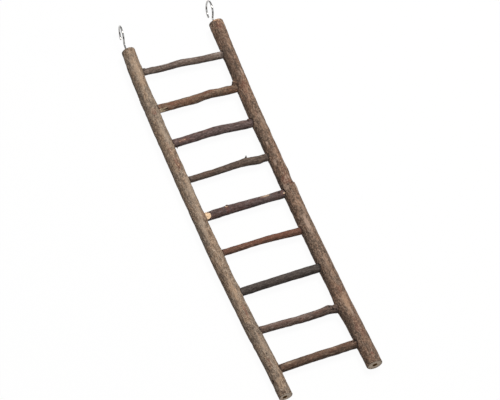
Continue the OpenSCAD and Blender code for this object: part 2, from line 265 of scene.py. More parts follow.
# %% The branches' measures
LEFT, RIGHT = 0, 1
RAIL_LEN = (450, 452)
RAIL_START = (0, 4)
RAIL_BOW = (5.5, 4.5)
FOOT_D = (15.3, 18.1)
HEAD_D = (15.4, 15.4)
FOOT_SPACING, HEAD_SPACING = 103.5, 106.5
END_WEAR = 0.8
PITH_D, PITH_X, PITH_DEPTH = (4.4, 5), (-1, 0), 1.6
FIRST_RUNG, HEAD_MARGIN = 31.5, 30.5
RUNG_D = (8.1, 9.7, 9.8, 8.3, 9.7, 8, 9.7, 9, 9.7)
RUNG_SHIFT = (-0.5, -1.6, 0.5, 1, 0.6, 2.7, 0.6, 0.7, 0.4)
RUNG_RISE = (-5.5, -1.2, -2.1, 0.4, 0.8, -1.3, 1.3, -2.2, 1.6)
RUNG_TAPER = (0.6, -0.5, 0.2, 1, -0.2, 0.8, 0.6, 0.6, 0.4)
TENON_D, TENON_LEN, SEAT_GAP, SHOULDER_DEPTH = 5.5, 7, 0.15, 0.6
WIRE_D, LOOP_R, BEND_R, MOUTH = 2.1, 10.3, 3.5, (100, 78)
SHANK = (11.5, 7.5)
SCREW_LEN, SCREW_GAP, POINT_LEN = 15, 0.1, 4
TURN, LEAN, HOOK_X = (-3, 5), (6.5, 4.5), (-1.8, -1.9)
TRUE_LEN, RUN_OUT, FOOT_CLEAR = 5, 8, 0.3
print("rails of", RAIL_LEN, "mm,", len(RUNG_D), "rungs of", RUNG_D, "mm")

# %% Bends, swellings and knots
# A bend is place, shift sideways, shift up and spread; a swelling is place, growth in
# diameter and spread; a knot is place, angle, height, half length and half angle
RAIL_BENDS = (
    ((38, 1.7, 0, 46), (105, 0.3, 0, 22), (345, -0.5, 0, 22), (410, -1, 0, 40)),
    ((325, -0.4, 0, 30),),
)
RUNG_BENDS = (
    ((-2, 0.9, 0.4, 14),),
    ((15, 1.4, 0.5, 11),),
    ((4, 1.8, 0.4, 26),),
    ((12, 1.1, 0.6, 22), (38, -0.8, 0, 9)),
    ((-12, 0.5, 0.3, 26),),
    ((2, 1, 0.5, 26),),
    ((4, 0, 0.7, 30),),
    ((2, -0.6, 0.3, 20), (36, 1.2, 0.4, 9)),
    ((-8, 0.2, 0.5, 24),),
)
RAIL_SWELLS = (
    ((171, 1, 14), (195, 0.5, 12), (360, 0.6, 30)),
    ((268, -0.7, 55), (385, -0.5, 10), (445, 1.6, 18)),
)
RUNG_SWELLS = (
    ((-4, 0.8, 9),),
    ((-3, 0.4, 7), (15, 0.5, 7)),
    ((3, 0.4, 8),),
    ((-4, -0.4, 26), (28, 0.7, 10)),
    ((-34, 0.6, 10), (26, -0.8, 11)),
    ((-4, -0.9, 26),),
    ((30, 0.4, 12),),
    ((39, 1.5, 8),),
    ((-20, 0.2, 10),),
)
RUNG_KNOTS = (
    ((-36, 40, 0.4, 4, 50),),
    ((36, 40, 0.7, 6, 60),),
    ((38, 60, 0.6, 5, 60),),
    ((20, 20, 0.6, 5, 55),),
    ((-19, 60, 0.7, 4.5, 55), (-17, 250, 0.5, 5, 60)),
    ((14, 80, 0.3, 5, 45),),
    ((-16, 100, 0.3, 5, 45),),
    ((36, 100, 0.4, 4, 50),),
    ((-34, 80, 0.4, 5, 50),),
)
print("knots on each rung:", [len(row) for row in RUNG_KNOTS])

# %% Stubs and knife cuts
# A stub is place, angle, base and tip diameter, height and lean; a knife cut is end,
# angle, length and depth
RUNG_STUBS = (
    ((-44.4, 34, 3, 2.2, 0.7, 0),),
    ((43.6, 42, 4.8, 4, 3.8, 10),),
    ((42.5, 62, 3.6, 2.4, 1.4, 0), (-42, 185, 2.6, 0.8, 2, -15)),
    ((21.5, 20, 3.6, 0.8, 2.6, 25),),
    ((-19.5, 54, 3.4, 2.4, 0.6, 0),), (), (),
    ((36, 100, 3.2, 2.2, 0.4, 0),),
    ((40, 66, 3.2, 2.2, 0.8, 0),),
)
RUNG_CUTS = (
    (),
    ((LEFT, 165, 9, 1.6), (LEFT, 280, 8, 1)),
    ((RIGHT, 250, 7, 1),),
    ((RIGHT, 240, 6, 0.8),),
    ((LEFT, 112, 10, 1.4), (RIGHT, 260, 6, 0.8)),
    (),
    ((LEFT, 260, 7, 0.8),),
    ((RIGHT, 270, 6, 0.8),),
    ((RIGHT, 250, 6, 0.8), (LEFT, 280, 6, 0.7)),
)
print("knife cuts on each rung:", [len(row) for row in RUNG_CUTS])

# %% Where the rungs are drilled
def rung_place(k):
    """How far up the left rail rung k, counted from 1 at the hooks, is drilled."""
    room = min(RAIL_LEN[LEFT], RAIL_START[RIGHT] + RAIL_LEN[RIGHT]) - HEAD_MARGIN - FIRST_RUNG
    return FIRST_RUNG + room / (len(RUNG_D) - 1) * (len(RUNG_D) - k) + RUNG_SHIFT[k - 1]


SEAT_BUMPS = ((1, 0.6), (2, 0.3), (3, 0.3), (7, 1))
RAIL_KNOTS = (
    ((293, 80, 0.7, 9, 42), (149, 100, 0.5, 8, 36), (34, 116, 0.4, 7, 34))
    + tuple((rung_place(k) + 5, 15, height, 7, 45) for k, height in SEAT_BUMPS),
    (
        (74, 180, 1.8, 13, 60), (228, 30, 0.8, 8, 42), (247, 25, 0.5, 6, 40),
        (167, 92, 0.6, 8, 38), (360, 116, 0.4, 7, 34), (300, 250, 0.3, 12, 40),
    ),
)
print("rungs at", [round(rung_place(k), 1) for k in range(1, 10)], "mm from the left foot")

# %% [markdown]
# A branch is a circle carried along a gently bent line. Its radius changes with the
# place s along it and the angle a round it: it tapers, swells at old buds, bulges at
# knots, and is never quite round. A smooth hump, the bell curve, gives the bends,
# swellings and knots. Each function takes whole arrays of s and a at once.

# %% Curves and angles
def bell(x, spread):
    """exp(-(x / spread) squared): 1 at the middle, almost 0 beyond twice the spread."""
    return np.exp(-((x / spread) ** 2))


def smooth(x):
    """A step from 0 to 1 as x goes from 0 to 1, level at both ends: 3 x2 - 2 x3."""
    c = np.clip(x, 0, 1)
    return c * c * (3 - 2 * c)


def cosd(a):
    """The cosine of an angle in degrees."""
    return np.cos(np.radians(a))


def sind(a):
    """The sine of an angle in degrees."""
    return np.sin(np.radians(a))


def join(*parts):
    """Arrays as the columns of one: join(x, y, z) gives points. A part may be a number."""
    return np.stack(np.broadcast_arrays(*parts), axis=-1)


def turn_between(a, b):
    """The turn from angle b to angle a, between -180 and 180 degrees."""
    return (a - b + 900) % 360 - 180


print("a bell curve at its spread:", bell(1, 1).round(3))

# %% The smooth form of a rail
def humps(table, s, column, spread):
    """The sum of the bell curves of a table of bends or swellings, at the places s."""
    return sum((row[column] * bell(s - row[0], row[spread]) for row in table), 0 * s)


def knots(table, s, a):
    """The sum of the knots' humps, each a bell curve along the branch and round it."""
    return sum(
        (h * bell(s - s0, long) * bell(turn_between(a, a0), wide)
         for s0, a0, h, long, wide in table), 0 * s * a)


def oval(s, a, seed):
    """How far the section is from round: 1, plus 2% of cos 2 a and 1.2% of cos 3 a, both
    slowly turning along the branch, and 1% of rings."""
    return (1 + 0.02 * cosd(2 * a + 0.6 * s + seed) + 0.012 * cosd(3 * a - 0.9 * s + 2 * seed)
            + 0.01 * sind(4 * s + 3 * seed))


def rail_d(side, s):
    """Mean diameter of a rail: its taper plus its swellings."""
    taper = FOOT_D[side] + (HEAD_D[side] - FOOT_D[side]) * s / RAIL_LEN[side]
    return taper + humps(RAIL_SWELLS[side], s, 1, 2)


LOOP_OUT = LOOP_R + WIRE_D / 2
FOOT_Z = [d / 2 + FOOT_CLEAR for d in FOOT_D]
HEAD_Z = [max(d / 2 + FOOT_CLEAR, LOOP_OUT) for d in HEAD_D]
LEFT_EDGE = -(FOOT_SPACING + HEAD_SPACING) / 4 - RAIL_BOW[0] - (FOOT_D[0] + HEAD_D[0]) / 4
RIGHT_EDGE = max(
    FOOT_SPACING + rail_d(RIGHT, 0.0), HEAD_SPACING + rail_d(RIGHT, float(RAIL_LEN[1]))) / 2
SHIFT_X = -(LEFT_EDGE + RIGHT_EDGE) / 2
SHIFT_Y = -max(RAIL_START[i] + RAIL_LEN[i] + SHANK[i] + LOOP_R + LOOP_OUT for i in (0, 1)) / 2


def rail_axis(side, s):
    """The middle of a rail at s from its foot, as an array of points in millimetres:
    a straight line between the ends, bowed by 4 t (1 - t), plus the bends."""
    s = np.asarray(s, float)
    t = s / RAIL_LEN[side]
    half = (FOOT_SPACING + (HEAD_SPACING - FOOT_SPACING) * t) / 2
    x = SHIFT_X + (-half if side == LEFT else half) - RAIL_BOW[side] * 4 * t * (1 - t)
    z = FOOT_Z[side] + (HEAD_Z[side] - FOOT_Z[side]) * t
    return join(
        x + humps(RAIL_BENDS[side], s, 1, 3), SHIFT_Y + RAIL_START[side] + s,
        z + humps(RAIL_BENDS[side], s, 2, 3))


def rail_radius(side, s, a):
    """Radius of a rail's bark before its fine relief: half its diameter times its oval,
    plus the knots' humps."""
    return rail_d(side, s) / 2 * oval(s, a, 40 + 70 * side) + knots(RAIL_KNOTS[side], s, a)


for rail_side, rail_name in ((LEFT, "left"), (RIGHT, "right")):
    ends = rail_axis(rail_side, np.array([0, RAIL_LEN[rail_side]]))
    print(rail_name, "rail from", ends[0].round(1).tolist(), "to", ends[1].round(1).tolist())

# %% [markdown]
# Bark has long shallow flutes, fine wrinkles that run along the branch, and small
# dents. Random numbers alone would look like sand, so they are filtered: a Fourier
# transform splits the random sheet into waves, and a bell curve keeps only those longer
# than a chosen length along and round the branch. The sheet then closes on itself with no
# seam. The relief only cuts inwards from the smooth form, so no piece outgrows its solid.

# %% Bark relief
# The lengths along and round of flutes, wrinkles, dents and fine grain
GRAINS = ((40, 5), (14, 1.6), (7, 6), (2.2, 1.1))
RELIEF_LIFT = 0.8


def bark_sheet(shape, cell, lengths, seed):
    """Filtered noise on a grid: random numbers whose waves shorter than lengths (along,
    round) are damped by a bell curve, scaled to a spread of 1. cell is the grid's step
    in millimetres along and round."""
    noise = np.random.default_rng(seed).standard_normal(shape)
    along = np.fft.fftfreq(shape[0], cell[0])[:, None] * lengths[0]
    round_ = np.fft.fftfreq(shape[1], cell[1])[None, :] * lengths[1]
    kept = np.fft.fft2(noise) * np.exp(-(along ** 2 + round_ ** 2))
    kept[0, 0] = 0
    sheet = np.fft.ifft2(kept).real
    return sheet / sheet.std()


def bark_relief(shape, cell, seed, depths):
    """How deep the bark lies under the smooth form, 0 or less: the sheets of GRAINS with
    the given depths, added and kept under 0."""
    total = sum(
        depth * bark_sheet(shape, cell, grain, seed + i)
        for i, (grain, depth) in enumerate(zip(GRAINS, depths)))
    return -np.clip(RELIEF_LIFT * sum(depths) - total, 0, None)


sample = bark_relief((400, 88), (0.55, 0.55), 1, (0.08, 0.07, 0.07, 0.04))
print("a rail's relief: mean", sample.mean().round(2), "deepest", sample.min().round(2), "mm")

# %% [markdown]
# Each surface becomes a mesh as a stack of rings with one point at either end, like a
# sausage skin: quads between the rings, triangles round the end points, and no open edge.
# Four sets of numbers ride on its points for the materials. grain is where the point
# would be if its branch were straight, so that a wood pattern follows every bend. marks
# says how much bare wood, dark knot with some painted ledge shadow, and ruddy bark there
# is, wear_and_shade how much pale bark, sawn end grain and painted shade in the joints
# and holes, and shade_and_tan how much painted shade, where the rails turn from the light,
# and tan bark.

# %% From rings to a mesh
SETS = ("grain", "marks", "wear_and_shade", "shade_and_tan")


def ring_faces(rings, sides, first, flip):
    """Corners of the quads and triangles of a closed stack of rings, whose points are
    numbered from first: the first end point, the rings, and the last end point."""
    i, j = np.meshgrid(np.arange(rings - 1), np.arange(sides), indexing="ij")
    n = (j + 1) % sides
    base = first + 1
    last = base + (rings - 1) * sides
    quads = base + join(i * sides + j, (i + 1) * sides + j, (i + 1) * sides + n, i * sides + n)
    quads, j, n = quads.reshape(-1, 4), j[0], n[0]
    fans = np.concatenate([
        join(first, base + j, base + n), join(last + j, last + sides, last + n)])
    return (quads[:, ::-1], fans[:, ::-1]) if flip else (quads, fans)


class Skin:
    """Collects closed stacks of rings, and makes one mesh object of them."""

    def __init__(self):
        self.parts, self.count = [], 0

    def add(self, points, *sets, flip=False):
        """points and the sets, in the order of SETS, are arrays of (rings, sides, 3). Sets
        left out are 0. The end points are the means of the first and the last ring."""
        rings, sides = points.shape[:2]
        layers = [
            np.concatenate([v[0].mean(0)[None], v.reshape(-1, 3), v[-1].mean(0)[None]])
            for v in (points, *sets, *[0 * points] * (len(SETS) - len(sets)))]
        self.parts.append((layers, *ring_faces(rings, sides, self.count, flip)))
        self.count += rings * sides + 2

    def make(self, name):
        """The mesh, in metres, as a smooth-shaded object in the scene."""
        layers, quads, fans = zip(*self.parts)
        points, *sets = (np.concatenate(layer) for layer in zip(*layers))
        quads, fans = np.concatenate(quads), np.concatenate(fans)
        mesh = bpy.data.meshes.new(name)
        mesh.from_pydata(points * MM, [], quads.tolist() + fans.tolist(), shade_flat=False)
        for label, values in zip(SETS, sets):
            layer = mesh.attributes.new(label, "FLOAT_VECTOR", "POINT")
            layer.data.foreach_set("vector", values.astype(np.float32).ravel())
        piece = bpy.data.objects.new(name, mesh)
        scene.collection.objects.link(piece)
        self.triangles = 2 * len(quads) + len(fans)
        return piece


print("sets of numbers on each point:", *SETS)

# %% Marks on a mesh
def spots(table, s, a, r):
    """How much of a kind of mark there is at each point: the greatest of its spots, each
    a soft-edged oval of half length and half width in millimetres, at a place and angle."""
    total = 0 * s * a
    for s0, a0, long, wide, strength in table:
        apart = np.hypot((s - s0) / long, np.radians(turn_between(a, a0)) * r / wide)
        total = np.maximum(total, strength / 100 * smooth(1.6 - apart))
    return total


def marked(tables, i, s, a, r):
    """How much of each kind of mark there is on rail or rung i, counted from 0."""
    return {kind: spots(rows[i], s, a, r) for kind, rows in tables.items()}


def capped(first, body, last, fill=(0, 0, 0)):
    """A set's numbers for a whole piece: body between the rings of both ends, which all
    get the same fill."""
    return np.concatenate([0 * first + fill, body, 0 * last + fill])


print("mesh tools ready")

# %% [markdown]
# A rung sits in a socket: a round mouth as wide as the rung, and a deeper hole for the
# tenon whittled on its end. Cutting holes in a dense mesh with a Boolean is slow and
# ragged. Pressing is neater: the grid's points next to the mouth slide onto its rim, and
# those inside it go straight down to the seat, or in the middle to the bottom of the
# tenon's hole. The skin stays one closed sheet.

# %% Where the rungs are seated
def seat_place(k, side):
    """How far up its rail rung k is seated."""
    return rung_place(k) + (0 if side == LEFT else RUNG_RISE[k - 1] - RAIL_START[RIGHT])


def rung_end(k, side):
    """The point on a rail's middle that rung k's own middle line meets."""
    return rail_axis(side, seat_place(k, side))


def end_d(k, side):
    """Diameter of rung k at an end: its own, with half its taper taken off or added."""
    return RUNG_D[k - 1] + RUNG_TAPER[k - 1] * (side - 0.5)


def shoulder(k, side):
    """How far from a rail's middle the shoulder of rung k stops: where a circle as wide
    as the rung, and a little more, meets the rail's round side."""
    r = rail_d(side, np.float64(seat_place(k, side))) / 2
    half = end_d(k, side) / 2 + SHOULDER_DEPTH
    return math.sqrt(max(r ** 2 - half ** 2, (r / 3) ** 2))


def rung_frame(k):
    """Rung k's origin and axes: X to the right rail, Y level and to the hooks, Z up."""
    start, way = rung_end(k, LEFT), rung_end(k, RIGHT) - rung_end(k, LEFT)
    x = way / np.linalg.norm(way)
    y = np.array([-x[1], x[0], 0]) / math.hypot(x[0], x[1])
    return start, np.array([x, y, np.cross(x, y)]), np.linalg.norm(way)


def body_len(k):
    """Rung k between its shoulders: its span, less what lies inside the two rails."""
    return rung_frame(k)[2] - shoulder(k, LEFT) - shoulder(k, RIGHT)


def seen_from_seat(points, k, side):
    """Coordinates of points from a socket: out along the rung, to the hooks, and up."""
    start, rung_axes, span = rung_frame(k)
    local = (points - start) @ rung_axes.T
    out = local[..., 0] if side == LEFT else span - local[..., 0]
    return out, local[..., 1], local[..., 2]


def from_seat(out, y, z, k, side):
    """The other way round: points from coordinates seen from a socket."""
    start, rung_axes, span = rung_frame(k)
    x = out if side == LEFT else span - out
    return start + join(x, y, z) @ rung_axes


print("rung 1's left seat is", round(shoulder(1, LEFT), 2), "mm from the rail's middle")

# %% Press the sockets
RIM_REACH = 0.36


def slide_to_rim(side, s, a, k):
    """Moves the grid's s and a so that points within RIM_REACH of the mouth's rim lie on
    it. Gives s, a and the points' distance from the rim before the move."""
    mouth = end_d(k, side) / 2 + SEAT_GAP

    def look(s, a):
        r = rail_radius(side, s, a)
        p = rail_axis(side, s) + r[..., None] * join(cosd(a), 0, sind(a))
        out, y, z = seen_from_seat(p, k, side)
        return out, y, z, np.hypot(y, z), r

    out, y, z, away, r = look(s, a)
    from_rim = np.where(out > 0, away - mouth, np.inf)
    rim = np.abs(from_rim) < RIM_REACH
    for _ in range(3):
        out, y, z, away, r = look(s, a)
        pull = np.where(rim, mouth / np.maximum(away, 0.1) - 1, 0)
        s = s + y * pull
        a = a + np.degrees(z * pull / (r * cosd(a)))
    return s, a, from_rim


def press_socket(points, from_rim, k, side):
    """Presses the points inside the mouth down to the seat, and those inside the
    tenon's ring to the bottom of its hole, each stretched to fill its circle."""
    mouth = end_d(k, side) / 2 + SEAT_GAP
    ring = TENON_D / 2 + SEAT_GAP
    seat = shoulder(k, side) - SEAT_GAP
    inside = from_rim <= -RIM_REACH
    out, y, z = seen_from_seat(points[inside], k, side)
    fill = mouth / (mouth - RIM_REACH)
    y, z = y * fill, z * fill
    away = np.hypot(y, z)
    on_ring = np.abs(away - ring) < RIM_REACH
    scale = np.where(on_ring, ring / np.maximum(away, 0.1), 1)
    deep = away <= ring - RIM_REACH
    scale = np.where(deep, ring / (ring - RIM_REACH), scale)
    depth = np.where(deep, seat - TENON_LEN, seat)
    points[inside] = from_seat(depth, y * scale, z * scale, k, side)
    return inside


print("points slide to a rim from up to", RIM_REACH, "mm away")

# %% [markdown]
# The rails carry the marks of the twigs they lost. A pruned twig leaves a flat oval
# face with a raised collar round it, and smaller ones only a dark dot. Those of the back,
# which the picture hides, are made up. The feet are sawn square, with the soft pith gone
# from the middle, and the heads close round the hooks' pilot holes.

# %% Marks on the rails
# A scar is place, angle, radius and height of its flat face
RAIL_SCARS = (
    ((293, 84, 1.9, 0.3), (151, 96, 1.3, 0.25), (34, 116, 1.3, 0.25), (240, 250, 2, 0.4),
     (96, 300, 1.8, 0.4), (384, 205, 1.7, 0.35)),
    ((167, 92, 1.9, 0.2), (357, 119, 1.2, 0.25), (300, 250, 2.2, 0.45), (120, 320, 1.9, 0.4),
     (404, 285, 1.8, 0.4), (226, 148, 1.5, 0.3)),
)
# A spot is place, angle, half length, half width and strength in hundredths
RAIL_BARE = (
    ((291.5, 84, 1.2, 0.8, 40), (365, 80, 2, 0.7, 30)),
    ((451.5, 104, 1.4, 3, 70), (450.5, 78, 1.6, 1.4, 60), (446, 93, 2.2, 0.6, 55),
     (446, 46, 2.2, 1.2, 45)),
)
RAIL_DARK = (
    ((295.5, 78, 1.6, 0.8, 50), (289, 88, 2.2, 0.5, 50), (152, 93, 1.4, 0.9, 60),
     (149, 99, 0.6, 1.2, 40), (154, 98, 0.6, 1.2, 45), (35, 119, 1, 0.7, 90),
     (50, 96, 1, 0.6, 80), (220, 50, 1.2, 0.6, 70), (19.3, 155, 2, 1.3, 75),
     (367, 84, 0.6, 1.4, 45), (363, 96, 1.6, 0.5, 45), (83, 99, 2.4, 1, 35),
     (240, 250, 1.5, 1.5, 80), (96, 300, 1.4, 1.4, 80), (384, 205, 1.3, 1.3, 80),
     (2.2, 116, 0.6, 3.6, 55), (4.4, 128, 0.8, 0.9, 60), (1.6, 42, 0.8, 1, 70)),
    ((167, 96, 1.3, 1, 30), (356.2, 120, 1.2, 0.9, 75), (360, 160, 3, 1.2, 60),
     # The next two rows trace the collar ledge's line: painted shadow along its step
     (231, 54, 0.8, 1.6, 60), (231.4, 42, 0.8, 1.6, 75), (232, 30, 0.8, 1.8, 75),
     (229.6, 84, 0.9, 2.8, 50), (228, 108, 0.9, 2.8, 50), (226.5, 138, 0.9, 3, 50),
     (300, 250, 1.7, 1.7, 85), (120, 320, 1.5, 1.5, 85), (404, 285, 1.4, 1.4, 85),
     (226, 148, 1.2, 1.2, 85), (232, 172, 5.5, 2.2, 50)),
)
RAIL_RUDDY = (
    ((294, 86, 8, 2.4, 50), (315, 96, 9.5, 2.1, 35), (104, 87, 9.5, 1.6, 50),
     (364, 90, 5, 2.8, 45), (39, 108, 7, 2.1, 35), (71, 81, 4.8, 1.1, 40),
     (226, 52, 5, 3, 40)),
    ((360, 100, 9, 4, 40), (42, 109, 3.6, 2.1, 50), (10, 90, 2.4, 1.5, 60),
     (92, 91, 4.8, 1.7, 45), (235, 112, 6, 3, 50), (325, 91, 5, 1.6, 35),
     (444, 84, 8, 4, 45), (44, 84, 14, 4, 30), (240, 80, 12, 2, 35), (232, 70, 4, 3, 50)),
)
print("dark spots on the rails:", [len(row) for row in RAIL_DARK])

# %% Paler and darker stretches of the rails
RAIL_PALE = (
    ((258, 70, 18, 3, 40), (334, 84, 16, 2.2, 45), (32, 87, 7, 1.6, 45),
     (213, 104, 13, 2.2, 50), (231, 88, 12, 2.1, 40), (58, 84, 12, 3.4, 40),
     (420, 90, 16, 4, 35), (170, 75, 1.9, 0.4, 80), (173, 83, 2.1, 0.4, 80),
     (176, 91, 2.1, 0.4, 80), (180, 98, 2.1, 0.4, 80), (183, 106, 2.1, 0.4, 70)),
    ((312, 66, 9, 1.6, 45), (259, 123, 4.2, 1.7, 65), (284, 115, 2.4, 1.3, 80),
     (175, 93, 12, 2.2, 80), (180, 87, 4.8, 1.3, 60), (227, 119, 3.8, 2.8, 60),
     (234, 112, 2, 1.5, 70), (237, 95, 2, 1.2, 70), (238, 70, 2.8, 1, 75),
     (224, 38, 6, 1.5, 90), (380, 61, 4.8, 1.3, 75), (378, 91, 3.6, 1.1, 45),
     (446, 172, 5, 1.4, 90), (62, 84, 6, 1.4, 50), (196, 70, 9, 1.6, 45)),
)
# Painted shade where the rails turn from the light, mostly up and to the left, and bark
# rubbed down to tan
RAIL_PAINTED_SHADE = (
    ((75, 120, 13, 2.8, 65), (83, 99, 3.6, 1.5, 40), (47, 113, 7, 2.2, 40),
     (344, 136, 11, 2.1, 45), (98, 139, 17, 2.1, 40), (155, 135, 12, 1.7, 35),
     (243, 133, 17, 2.1, 40), (20, 144, 14, 1.7, 40), (285, 137, 12, 1.7, 35),
     (383, 137, 14, 1.7, 40), (270, 27, 180, 1.1, 45)),
    ((58, 134, 11, 2.4, 80), (66, 143, 7, 1.8, 70), (398, 138, 17, 4.3, 80),
     (390, 103, 6, 2.4, 50), (19, 143, 14, 2.1, 50), (110, 146, 24, 2.6, 60),
     (163, 148, 17, 2.4, 60), (204, 148, 14, 2.4, 65), (247, 151, 14, 2.4, 60),
     (289, 151, 19, 2.4, 60), (332, 145, 17, 2.4, 60), (432, 132, 10, 3.2, 65),
     (363, 146, 9, 1.8, 60), (221, 117, 1.9, 1.3, 70), (388, 30, 30, 1.2, 50),
     (395, 112, 50, 4.2, 75), (290, 118, 60, 3.6, 50), (60, 150, 80, 2.2, 40)),
)
RAIL_TAN = (
    ((129, 97, 12, 2.8, 65), (14, 97, 7, 3.2, 35), (143, 88, 6, 1.5, 50),
     (410, 82, 14, 2.1, 45), (64, 85, 7, 1.3, 35), (389, 106, 10, 2.1, 40),
     (426, 91, 10, 2.6, 40)),
    ((75, 92, 11, 2.6, 75), (79, 77, 7, 1.4, 60), (124, 83, 14, 1.9, 45),
     (205, 92, 6, 1.5, 40), (269, 75, 6, 1.1, 50), (305, 87, 6, 1.7, 50),
     (325, 111, 6, 1.7, 40), (354, 102, 6, 3, 45), (416, 74, 5, 1.4, 60),
     (30, 89, 7, 1.5, 40), (102, 115, 6, 1, 35), (447, 40, 3.5, 3, 50)),
)
RAIL_MARKS = dict(bare=RAIL_BARE, dark=RAIL_DARK, ruddy=RAIL_RUDDY, pale=RAIL_PALE,
                  painted_shade=RAIL_PAINTED_SHADE, tan=RAIL_TAN)
print("kinds of marks on the rails:", *RAIL_MARKS)

# %% Pruned faces and the ledge
LEDGE_PLACE, LEDGE_SLANT, LEDGE_DEPTH = 231.5, 0.045, 1.1


def scars(table, s, a, r):
    """The relief of the pruned faces, by the distance from a face's edge: a step up to
    the flat face, less a bell curve for the groove, plus one for the collar round it."""
    total = 0 * s * a
    for s0, a0, radius, height in table:
        apart = np.hypot(s - s0, np.radians(turn_between(a, a0)) * r) - radius
        total = total + height * smooth(0.5 - apart / 0.6)
        total = total - 0.25 * bell(apart - 0.5, 0.45) + 0.3 * bell(apart - 1.5, 0.8)
    return total


def collar_ledge(s, a):
    """The right rail's branch collar, a sharp little ledge across its outer side: a step
    down at a slanted line, times a bell curve along the rail and one round it."""
    line = s - LEDGE_PLACE + LEDGE_SLANT * turn_between(a, 42)
    outer_side = bell(turn_between(a, 30), 45)
    return -LEDGE_DEPTH * smooth(line / 1.2 + 1) * bell(line, 11) * outer_side


print("scars:", [len(table) for table in RAIL_SCARS])

# %% The bark of a rail
RAIL_SIDES = 88
RAIL_STEP, RAIL_CELL = 0.56, 0.55
RAIL_DEPTHS = (0.09, 0.07, 0.08, 0.035)
EDGE_STEPS = np.array([0, 0.05, 0.13, 0.25, 0.42, 0.65, 0.95])
EDGE_BAND = 1.4


def rail_skin(side):
    """The bark of a rail: a grid of s and a, slid onto the sockets' rims, given its
    radius, relief and worn ends, and pressed into the sockets."""
    length = RAIL_LEN[side]
    steps = int((length - 2 * EDGE_BAND) / RAIL_STEP)
    s, a = np.meshgrid(
        np.concatenate([EDGE_STEPS, np.linspace(EDGE_BAND, length - EDGE_BAND, steps),
                        length - EDGE_STEPS[::-1]]),
        np.arange(RAIL_SIDES) * 360 / RAIL_SIDES, indexing="ij")
    from_rims = []
    for k in range(1, len(RUNG_D) + 1):
        s, a, from_rim = slide_to_rim(side, s, a, k)
        from_rims.append(from_rim)
    nearest = np.min(np.abs(from_rims), axis=0)
    smooth_r = rail_radius(side, s, a)
    calm = smooth((nearest - RIM_REACH) / 2.5)
    relief = bark_relief(s.shape, (RAIL_STEP, RAIL_CELL), 20 + 10 * side, RAIL_DEPTHS)
    relief = relief * (0.35 + 0.65 * calm) + scars(RAIL_SCARS[side], s, a, smooth_r)
    relief = relief + 0.22 * bell(nearest - 0.9, 0.8)
    if side == RIGHT:
        relief = relief + collar_ledge(s, a)
    from_end = np.clip(np.minimum(s, length - s), 0, END_WEAR)
    worn = END_WEAR - np.sqrt(END_WEAR ** 2 - (END_WEAR - from_end) ** 2)
    r = smooth_r + relief * smooth(from_end / END_WEAR + 0.2) - worn
    points = rail_axis(side, s) + r[..., None] * join(cosd(a), 0, sind(a))
    hidden = np.zeros(s.shape, bool)
    for k, from_rim in enumerate(from_rims, start=1):
        hidden |= press_socket(points, from_rim, k, side)
    mark = marked(RAIL_MARKS, side, s, a, smooth_r)
    bare = np.maximum(mark["bare"], 0.3 * smooth(1 - from_end / 0.6))
    # Painted shade round each socket's mouth and over the pressed-in points inside it
    crease_shade = np.maximum(0.5 * bell(nearest, 0.7), hidden)
    return (
        points, join(smooth_r * cosd(a), s, smooth_r * sind(a)),
        join(bare, mark["dark"], mark["ruddy"]), join(mark["pale"], 0, crease_shade),
        join(mark["painted_shade"], mark["tan"], 0))


print("a rail's bark has", RAIL_SIDES, "points round it")

# %% The ends of a rail
SAW_DEPTH = 0.035


def end_face(edge, centre, inner_r, inward, steps=12):
    """Rings of a sawn face, from its edge in to a round hole, in straight lines towards
    the hole's rim, with the saw's shallow curved marks pressed in along Y."""
    around = edge - centre
    a = np.degrees(np.arctan2(around[:, 2], around[:, 0]))
    rim = centre + inner_r * join(cosd(a), 0, sind(a))
    t = (np.arange(1, steps + 1) / steps)[:, None, None]
    rings = edge * (1 - t) + rim * t
    x, z = rings[:-1, :, 0], rings[:-1, :, 2]
    rings[:-1, :, 1] += inward * SAW_DEPTH * (1 + np.sin(2.6 * x + 0.05 * z * z))
    return rings


def hook_seat(side):
    """Where a hook's middle line enters its rail's head."""
    return rail_axis(side, RAIL_LEN[side]) + (HOOK_X[side], 0, 0)


def hook_axes(side):
    """Axes of a hook's own frame: turned about the shank, then leaned sideways."""
    c, s = cosd(TURN[side]), sind(TURN[side])
    about_y = np.array([[c, 0, s], [0, 1, 0], [-s, 0, c]])
    c, s = cosd(LEAN[side]), sind(LEAN[side])
    return np.array([[c, s, 0], [-s, c, 0], [0, 0, 1]]) @ about_y


print("left hook's seat:", hook_seat(LEFT).round(1).tolist())

